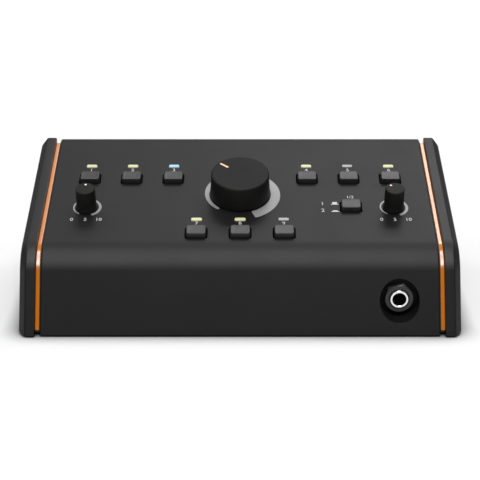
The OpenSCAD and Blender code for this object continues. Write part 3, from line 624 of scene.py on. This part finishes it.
def make_lamps():
    spots = {"lit_lamps": ("lit", "lamp_warm", [(-COLS[2], LAMP1), (-COLS[1], LAMP1), (COLS[0], LAMP1), (COLS[2], LAMP1), (-MID, LAMP2), (0, LAMP2)]),
             "blue_lamp": ("blue", "lamp_blue", [(-COLS[0], LAMP1)]),
             "unlit_lamps": ("dark", "lamp_dark", [(COLS[1], LAMP1), (MID, LAMP2)])}
    for node, (mat, slot, places) in spots.items():
        b = Build()
        for x, s in places:
            at = panel_at(x, s)
            top = LAMP_H - 0.45
            sec = [(0.0, -6.8), (0.0, top)] + [(0.45 * (1 - math.cos(a)), top + 0.45 * math.sin(a)) for a in [math.pi / 2 * i / 6 for i in range(1, 7)]]
            b.rings([[at(u, v, z) for u, v in rrect(LAMP_W - 2 * o, LAMP_D - 2 * o, max(0.3, 0.85 - o), 6)] for o, z in sec])
            for m in (-1, 1):
                b.rings([[at(u + m * 1.27, v, z) for u, v in rrect(0.5, 0.5, 0.08, 2)] for z in (-10.5, -6.8)])
        piece(node.replace("_lamps", "_lamp_lenses").replace("blue_lamp", "blue_lamp_lens"), b, MAT[mat], "case", [node], slot)


# ------------------------------------------------------------------ sockets
def hex_nut(b, at, h, af, bore, turn=0.0, n=144):
    """a hexagon nut with rounded corners and a chamfered outer face"""
    def ring(limit, z, inset=0.0):
        out = []
        for i in range(n):
            a = 2 * math.pi * i / n
            k = (a + math.pi / 6) % (math.pi / 3) - math.pi / 6
            r = min((af / 2 - inset) / math.cos(k), limit)
            out.append(at(r * math.cos(a + turn), r * math.sin(a + turn), z))
        return out
    rc = af / math.sqrt(3) - 0.15
    rings = [ring(rc - 0.4, 0.0, 0.1), ring(rc, 0.25), ring(rc, h - 0.95)]
    # the chamfer is a cone that cuts the corners: its radius falls from the corners to just inside the flats
    rings += [ring(rc - (rc - af / 2 + 0.15) * t, h - 0.95 * (1 - t) ** 1.0) for t in (0.15, 0.3, 0.45, 0.6, 0.75, 0.9, 1.0)]
    circ = [(af / 2 - 0.35, h), (bore + 0.55, h), (bore + 0.35, h - 0.08), (bore, h - 0.45), (bore, 0.0)]
    rings += [[at(r * math.cos(2 * math.pi * i / n + turn), r * math.sin(2 * math.pi * i / n + turn), z) for i in range(n)] for r, z in circ]
    idx = [b.add(r) for r in rings]
    for p, q in zip(idx, idx[1:] + idx[:1]):
        b.bridge(p, q)


def ferrule(b, at, length, r_in=SOCK_R, r_out=FERRULE_R):
    prof = [(r_in, 0), (r_out, 0), (r_out, length - 0.45), (r_out - 0.08, length - 0.2), (r_out - 0.28, length - 0.02), (r_out - 0.45, length)]
    prof += [(r_in + 0.12, length), (r_in, length - 0.15)]
    b.lathe(prof, at, 96, closed=True)


def make_collar():
    """the dished collar that lines the recess of the headphone socket, from the hole's rim back to the flange"""
    b = Build()
    n, back = 144, FLANGE_Y - 0.1

    def y_of(a, kind, k):
        lip = front_y(SOCK_Z + 9.4 * math.sin(a), COVER_DROP + 0.32)
        return {"lip": lip + k, "wall": lip + 0.14 + (back - 0.34 - lip - 0.14) * k, "floor": back + k}[kind]
    prof = [(9.47, "lip", 0.0), (9.38, "lip", 0.02), (9.30, "lip", 0.14)]
    prof += [(9.30 - 0.32 * t, "wall", t) for t in (0.12, 0.25, 0.4, 0.55, 0.7, 0.85, 1.0)]
    prof += [(8.90, "floor", -0.14), (8.78, "floor", -0.04), (8.62, "floor", 0.0), (7.80, "floor", 0.0), (7.80, "floor", 0.08), (9.47, "floor", 0.08)]
    idx = []
    for r, kind, k in prof:
        ring = [2 * math.pi * i / n for i in range(n)]
        idx.append(b.add([dev(JACK_X + r * math.cos(a), y_of(a, kind, k), SOCK_Z + r * math.sin(a)) for a in ring]))
    for p, q in zip(idx, idx[1:] + idx[:1]):
        b.bridge(p, q)
    piece("headphone_collar", b, MAT["collar"], "case", slot="nut_black")


def make_sockets():
    b = Build()
    hex_nut(b, front_at(JACK_X, SOCK_Z, FLANGE_Y), 3.0, NUT_AF, FERRULE_R + 0.08, math.radians(-15.4))
    piece("headphone_hex_nut", b, MAT["nut"], "case", ["headphone_nut"], "nut_black", sharp=26)
    b = Build()
    ferrule(b, front_at(JACK_X, SOCK_Z, FLANGE_Y + SHEET), 4.9)
    piece("headphone_ring", b, MAT["ferrule"], "case", ["headphone_ferrule"], "ferrule_silver")
    b, c = Build(), Build()
    for i, x in enumerate(BACK_X):
        for j, z in enumerate((SOCK_Z, SOCK_Z2)):
            hex_nut(b, back_at(x, z, BACK_Y), 2.4, NUT_AF, FERRULE_R, math.radians(11 * (i + 1) + 23 * j))
            ferrule(c, back_at(x, z, BACK_Y - SHEET), 4.6)
    piece("rear_hex_nuts", b, MAT["nut"], "case", ["rear_socket_nuts"], "nut_black", sharp=26)
    piece("rear_rings", c, MAT["ferrule"], "case", ["rear_socket_ferrules"], "ferrule_silver")
    b = Build()
    prof = [(1.8, 0), (2.9, 0), (2.9, 1.2), (4.2, 1.2), (4.2, 2.75), (4.05, 3.0), (3.8, 3.1), (2.1, 3.1), (1.8, 2.85)]
    b.lathe(prof, back_at(AUX_X, SOCK_Z, BACK_Y - SHEET), 72, closed=True)
    piece("aux_ring", b, MAT["ferrule"], "case", ["aux_socket_ring"], "ferrule_silver")
    b = Build()
    b.lathe([(0, 0), (1.05, 0), (1.05, 8.5), (0.9, 8.85), (0.6, 9.0), (0, 9.0)], back_at(INLET_X, SOCK_Z, 96.5), 40)
    piece("inlet_pin", b, MAT["ferrule"], "case", ["power_inlet_pin"], "ferrule_silver")


def make_feet():
    b = Build()
    for x, y in FEET:
        def at(u, v, n, x=x, y=y):
            return dev(x + u, y + v, n - FOOT_H)
        prof = [(1.25, 0.6), (3.25, 0.6), (3.4, 0.5), (3.4, 0.12), (3.52, 0), (6.2, 0), (6.65, 0.1), (6.92, 0.3), (7.0, 0.5), (7.0, 1.0), (6.9, 1.1), (1.25, 1.1)]
        b.lathe(prof, at, 64, closed=True)
    piece("feet_rubber", b, MAT["rubber"], "case", ["rubber_feet"], "foot_rubber")


# ------------------------------------------------------------------ printing on the panel
PRINT_H = 0.03


def flat_print(b, at, outline2d, h=PRINT_H):
    b.rings([[at(u, v, 0.003) for u, v in outline2d], [at(u, v, h) for u, v in outline2d]])


def level_arc(b, cx, cs, r_in, r0, r1, a0=-238.0, a1=64.0, soft=0.5):
    """a band that widens clockwise; angles are clockwise from the right-hand side, so -238 is lower left"""
    n = 90
    m = soft / r_in
    t = [math.radians(-a0 - (a1 - a0) * i / n) for i in range(n + 1)]

    def rad(i):
        return r0 + (r1 - r0) * i / n
    keep = [i for i in range(n + 1) if m < abs(t[i] - t[0]) and m < abs(t[i] - t[-1])]
    o0, o1 = (rad(0) * math.cos(t[0]), rad(0) * math.sin(t[0])), (rad(n) * math.cos(t[-1]), rad(n) * math.sin(t[-1]))
    i0, i1 = (r_in * math.cos(t[0]), r_in * math.sin(t[0])), (r_in * math.cos(t[-1]), r_in * math.sin(t[-1]))
    outer = [(rad(i) * math.cos(t[i]), rad(i) * math.sin(t[i])) for i in keep]
    inner = [(r_in * math.cos(t[i]), r_in * math.sin(t[i])) for i in reversed(keep)]
    s0, s1 = min(soft, (r0 - r_in) * 0.48), min(soft, (r1 - r_in) * 0.48)
    ring = (fillet(i0, o0, outer[0], s0, 4) + outer + fillet(outer[-1], o1, i1, s1, 4) +
            fillet(o1, i1, inner[0], s1, 4) + inner + fillet(inner[-1], i0, o0, s0, 4))
    at = panel_at(cx, cs)
    lo, hi = b.add([at(u, v, 0.003) for u, v in ring]), b.add([at(u, v, PRINT_H) for u, v in ring])
    b.bridge(lo, hi)
    k = len(ring)
    # the two faces as quads across the band
    half = k // 2
    for idx in (lo, hi):
        for i in range(half - 1):
            b.f.append((idx[i], idx[i + 1], idx[k - 2 - i], idx[k - 1 - i]))


def number(b, text, cx, cs, size):
    """plain numerals printed on the panel, as a thin raised mesh"""
    cu = bpy.data.curves.new("numeral", "FONT")
    cu.body = text
    cu.size = size
    cu.align_x, cu.align_y = "CENTER", "CENTER"
    cu.extrude = PRINT_H / 2
    cu.resolution_u = 5
    tmp = bpy.data.objects.new("numeral", cu)
    bpy.context.scene.collection.objects.link(tmp)
    bpy.context.view_layer.update()
    me = bpy.data.meshes.new_from_object(tmp.evaluated_get(bpy.context.evaluated_depsgraph_get()))
    at = panel_at(cx, cs)
    idx = b.add([at(v.co.x, v.co.y, v.co.z + PRINT_H / 2 + 0.003) for v in me.vertices])
    for f in me.polygons:
        b.f.append(tuple(idx[i] for i in f.vertices))
    bpy.data.objects.remove(tmp)
    bpy.data.curves.remove(cu)
    bpy.data.meshes.remove(me)


def make_prints():
    b = Build()
    level_arc(b, 0, MAIN_S, 15.45, 16.95, 21.0, -230, 69, 0.7)
    for m in (-1, 1):
        level_arc(b, m * SMALL_X, SMALL_ARC_S, 6.0, 6.6, 7.5, -238, 66, 0.28)
    piece("level_arcs", b, MAT["arc"], "case", slot="dot_white", weighted=False)
    b = Build()
    for i in range(3):
        number(b, str(i + 1), -COLS[2 - i], ROW1 - 7.7, 3.3)
        number(b, str(i + 4), COLS[i], ROW1 - 7.7, 3.3)
        number(b, str(i + 7), (i - 1) * MID, ROW2 - 7.7, 3.3)
    for m in (-1, 1):
        for text, u in (("0", -6.6), ("5", 0.0), ("10", 6.6)):
            number(b, text, m * SMALL_X + u, SMALL_S + 9.6, 3.3)
    # the selector's two states: a raised key and a pressed key, each with its number
    for k, s0, foot in ((0, 58.6, -0.75), (1, 64.2, -1.1)):
        number(b, str(k + 1), 40.9, s0, 3.6)
        at = panel_at(47.0, s0)
        flat_print(b, at, rounded([(-1.9, foot), (1.9, foot), (1.9, foot + 0.55), (-1.9, foot + 0.55)], 0.12, 2))
        tall = 1.5 if k == 0 else 0.6
        flat_print(b, at, rounded([(-1.15, foot + 0.55), (1.15, foot + 0.55), (1.15, foot + 0.55 + tall), (-1.15, foot + 0.55 + tall)], 0.12, 2))
    number(b, "1/2", SEL_X, 53.2, 3.0)
    piece("panel_numbers", b, MAT["print"], "case", slot="dot_white", weighted=False)


make_cover()
make_side(-1, "left_cheek_plate", "left_cheek")
make_side(1, "right_cheek_plate", "right_cheek")
make_trim(-1, "left_trim_plate", "left_trim")
make_trim(1, "right_trim_plate", "right_trim")
make_cheek_screws()
for i in range(3):
    make_button(f"source_cap_{i + 1}", panel_at(-COLS[2 - i], ROW1), f"source_button_{i + 1}")
    make_button(f"speaker_cap_{i + 1}", panel_at(COLS[i], ROW1), f"speaker_button_{i + 1}")
    make_button(f"function_cap_{i + 1}", panel_at((i - 1) * MID, ROW2), f"function_button_{i + 1}")
make_button("selector_cap", panel_at(SEL_X, SEL_S), "selector_button")
make_button("power_cap", back_at(SWITCH_X, SOCK_Z, BACK_Y), "power_button", 8.0, 8.0, 3.5, -5.0, (4.0, 4.0, -13.0))
make_knobs()
make_lamps()
make_sockets()
make_collar()
make_feet()
make_prints()

# ------------------------------------------------------------------ CAD pieces that keep their own shape
KEEP = {
    # base_chassis wears the flange coat, a darker copy of the chassis coat that paints the shade inside the headphone
    # recess
    "base_chassis": "flange", "side_plates": "chassis", "rear_panel": "chassis", "foot_screws": "zinc",
    "control_board": "board", "main_board": "board", "control_board_standoffs": "brass", "main_board_standoffs": "brass",
    "board_screws": "zinc",
    "main_pot_body": "steel", "main_pot_nut": "zinc", "small_pot_bodies": "steel", "switch_housings": "part",
    "headphone_socket_body": "part", "rear_socket_bodies": "part", "aux_socket_body": "part",
    "power_inlet_body": "part", "power_switch_housing": "part",
    "relays": "relay", "capacitors": "cap", "amplifier_chips": "part", "wireless_module": "zinc",
    "ribbon_cable": "ribbon", "ribbon_headers": "part",
    "main_pot_shaft": "steel", "left_pot_shaft": "steel", "right_pot_shaft": "steel",
}
EASED = {"rear_panel": 0.15, "base_chassis": 0.12, "side_plates": 0.12, "relays": 0.25, "power_inlet_body": 0.12, "aux_socket_body": 0.12,
         "rear_socket_bodies": 0.15, "power_switch_housing": 0.15, "switch_housings": 0.12, "ribbon_headers": 0.12}
for name, mat in KEEP.items():
    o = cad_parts[name]
    o.data.materials.clear()
    o.data.materials.append(MAT[mat])
    if name in EASED:
        weld = o.modifiers.new("weld", "WELD")
        weld.merge_threshold = 1e-6
        bev = o.modifiers.new("eased", "BEVEL")
        bev.width = EASED[name] * MM
        bev.segments = 2
        bev.limit_method = "ANGLE"
        bev.angle_limit = math.radians(50)
        bev.use_clamp_overlap = True
        bev.harden_normals = False
        wn = o.modifiers.new("normals", "WEIGHTED_NORMAL")
        wn.weight = 90

# ------------------------------------------------------------------ floor, light and camera
def make_stage():
    b = bpy.data.meshes.new("floor")
    b.from_pydata([(9 * math.cos(a), 9 * math.sin(a), -0.00004) for a in [2 * math.pi * i / 32 for i in range(32)]], [], [tuple(range(32))])
    o = bpy.data.objects.new("floor", b)
    bpy.context.scene.collection.objects.link(o)
    m, nt, p = nodes_of("floor_paper_painted_contact_shadow")
    f = noise(nt, 4.0, 2.0)
    # painted contact shadow: ambient occlusion within 10 mm, raised to the power 1.5, darkens the floor's colour round
    # the object's foot
    contact_shadow_ao = nt.nodes.new("ShaderNodeAmbientOcclusion")
    contact_shadow_ao.samples = 8
    contact_shadow_ao.inputs["Distance"].default_value = 0.010
    contact_shadow_power = nt.nodes.new("ShaderNodeMath")
    contact_shadow_power.operation = "POWER"
    nt.links.new(contact_shadow_ao.outputs["AO"], contact_shadow_power.inputs[0])
    contact_shadow_power.inputs[1].default_value = 1.5
    shade = nt.nodes.new("ShaderNodeVectorMath")
    shade.operation = "SCALE"
    nt.links.new(ramp(nt, f, (0.835, 0.835, 0.835, 1), (0.855, 0.855, 0.855, 1)), shade.inputs[0])
    nt.links.new(contact_shadow_power.outputs["Value"], shade.inputs["Scale"])
    nt.links.new(shade.outputs["Vector"], p.inputs["Base Color"])
    p.inputs["Roughness"].default_value = 0.9
    p.inputs["Specular IOR Level"].default_value = 0.1
    b.materials.append(m)


# brightness of the studio against the angle round the object, from the camera's side of the floor (0) over the top
# (0.5) to the back (1): its walls, the band overhead and the band behind. The bands also fade towards the sides.
WALLS = [(0.0, 0.05), (0.18, 0.05), (0.24, 0.30), (0.30, 0.55), (0.44, 0.55), (0.51, 0.30), (0.57, 0.26), (0.75, 0.30), (0.82, 0.20), (1.0, 0.08)]
ABOVE = [(0.0, 0.0), (0.24, 0.0), (0.285, 8.0), (0.35, 5.0), (0.42, 3.4), (0.45, 6.0), (0.48, 6.0), (0.51, 0.0), (1.0, 0.0)]
BEHIND = [(0.0, 0.0), (0.645, 0.0), (0.652, 7.6), (0.672, 7.6), (0.69, 2.2), (0.735, 4.4), (0.75, 0.0), (1.0, 0.0)]
ACROSS_ABOVE = [(0.0, 0.0), (0.34, 0.0), (0.42, 1.0), (0.58, 1.0), (0.66, 0.0)]
ACROSS_BEHIND = [(0.0, 0.0), (0.12, 0.0), (0.20, 0.9), (0.33, 0.17), (0.42, 0.05), (0.50, 0.79), (0.58, 1.06), (0.68, 0.6), (0.80, 0.9), (0.88, 0.0)]
LOW = [(0.0, 0.35), (0.15, 0.45), (0.55, 1.0)]
WORLD = 1.05


def make_light():
    w = bpy.data.worlds.new("studio")
    bpy.context.scene.world = w
    w.use_nodes = True
    nt = w.node_tree
    bg = nt.nodes["Background"]
    tc = nt.nodes.new("ShaderNodeTexCoord")
    sx = nt.nodes.new("ShaderNodeSeparateXYZ")
    nt.links.new(tc.outputs["Generated"], sx.inputs["Vector"])

    def calc(op, a, b):
        n = nt.nodes.new("ShaderNodeMath")
        n.operation = op
        for k, x in enumerate((a, b)):
            if isinstance(x, (int, float)):
                n.inputs[k].default_value = x
            else:
                nt.links.new(x, n.inputs[k])
        return n.outputs["Value"]

    def curve(fac, stops):
        r = nt.nodes.new("ShaderNodeValToRGB")
        for i, (t, v) in enumerate(stops):
            e = r.color_ramp.elements[i] if i < 2 else r.color_ramp.elements.new(t)
            e.position = t
            e.color = (v, v, v, 1)
        nt.links.new(fac, r.inputs["Fac"])
        return r.outputs["Color"]
    turn = calc("DIVIDE", calc("ARCTAN2", sx.outputs["Z"], calc("MULTIPLY", sx.outputs["Y"], -1.0)), math.pi)
    side = calc("MULTIPLY_ADD", sx.outputs["X"], 0.5)
    side.node.inputs[2].default_value = 0.5
    above = calc("MULTIPLY", curve(turn, ABOVE), curve(side, ACROSS_ABOVE))
    behind = calc("MULTIPLY", curve(turn, BEHIND), curve(side, ACROSS_BEHIND))
    walls = calc("MULTIPLY", curve(turn, WALLS), curve(sx.outputs["Z"], LOW))
    total = calc("ADD", walls, calc("ADD", above, behind))
    nt.links.new(total, bg.inputs["Color"])
    bg.inputs["Strength"].default_value = WORLD


cam_data = bpy.data.cameras.new("camera")
cam = bpy.data.objects.new("camera", cam_data)
bpy.context.scene.collection.objects.link(cam)
bpy.context.scene.camera = cam
cam_data.sensor_width = 36
cam_data.lens = 101.46
cam_data.clip_start, cam_data.clip_end = 0.01, 50
cam.location = (-0.00005, -0.6351, 0.2719)
cam.rotation_euler = (math.radians(69), 0, 0)

make_stage()
make_light()
bpy.context.scene.view_settings.view_transform = "Standard"
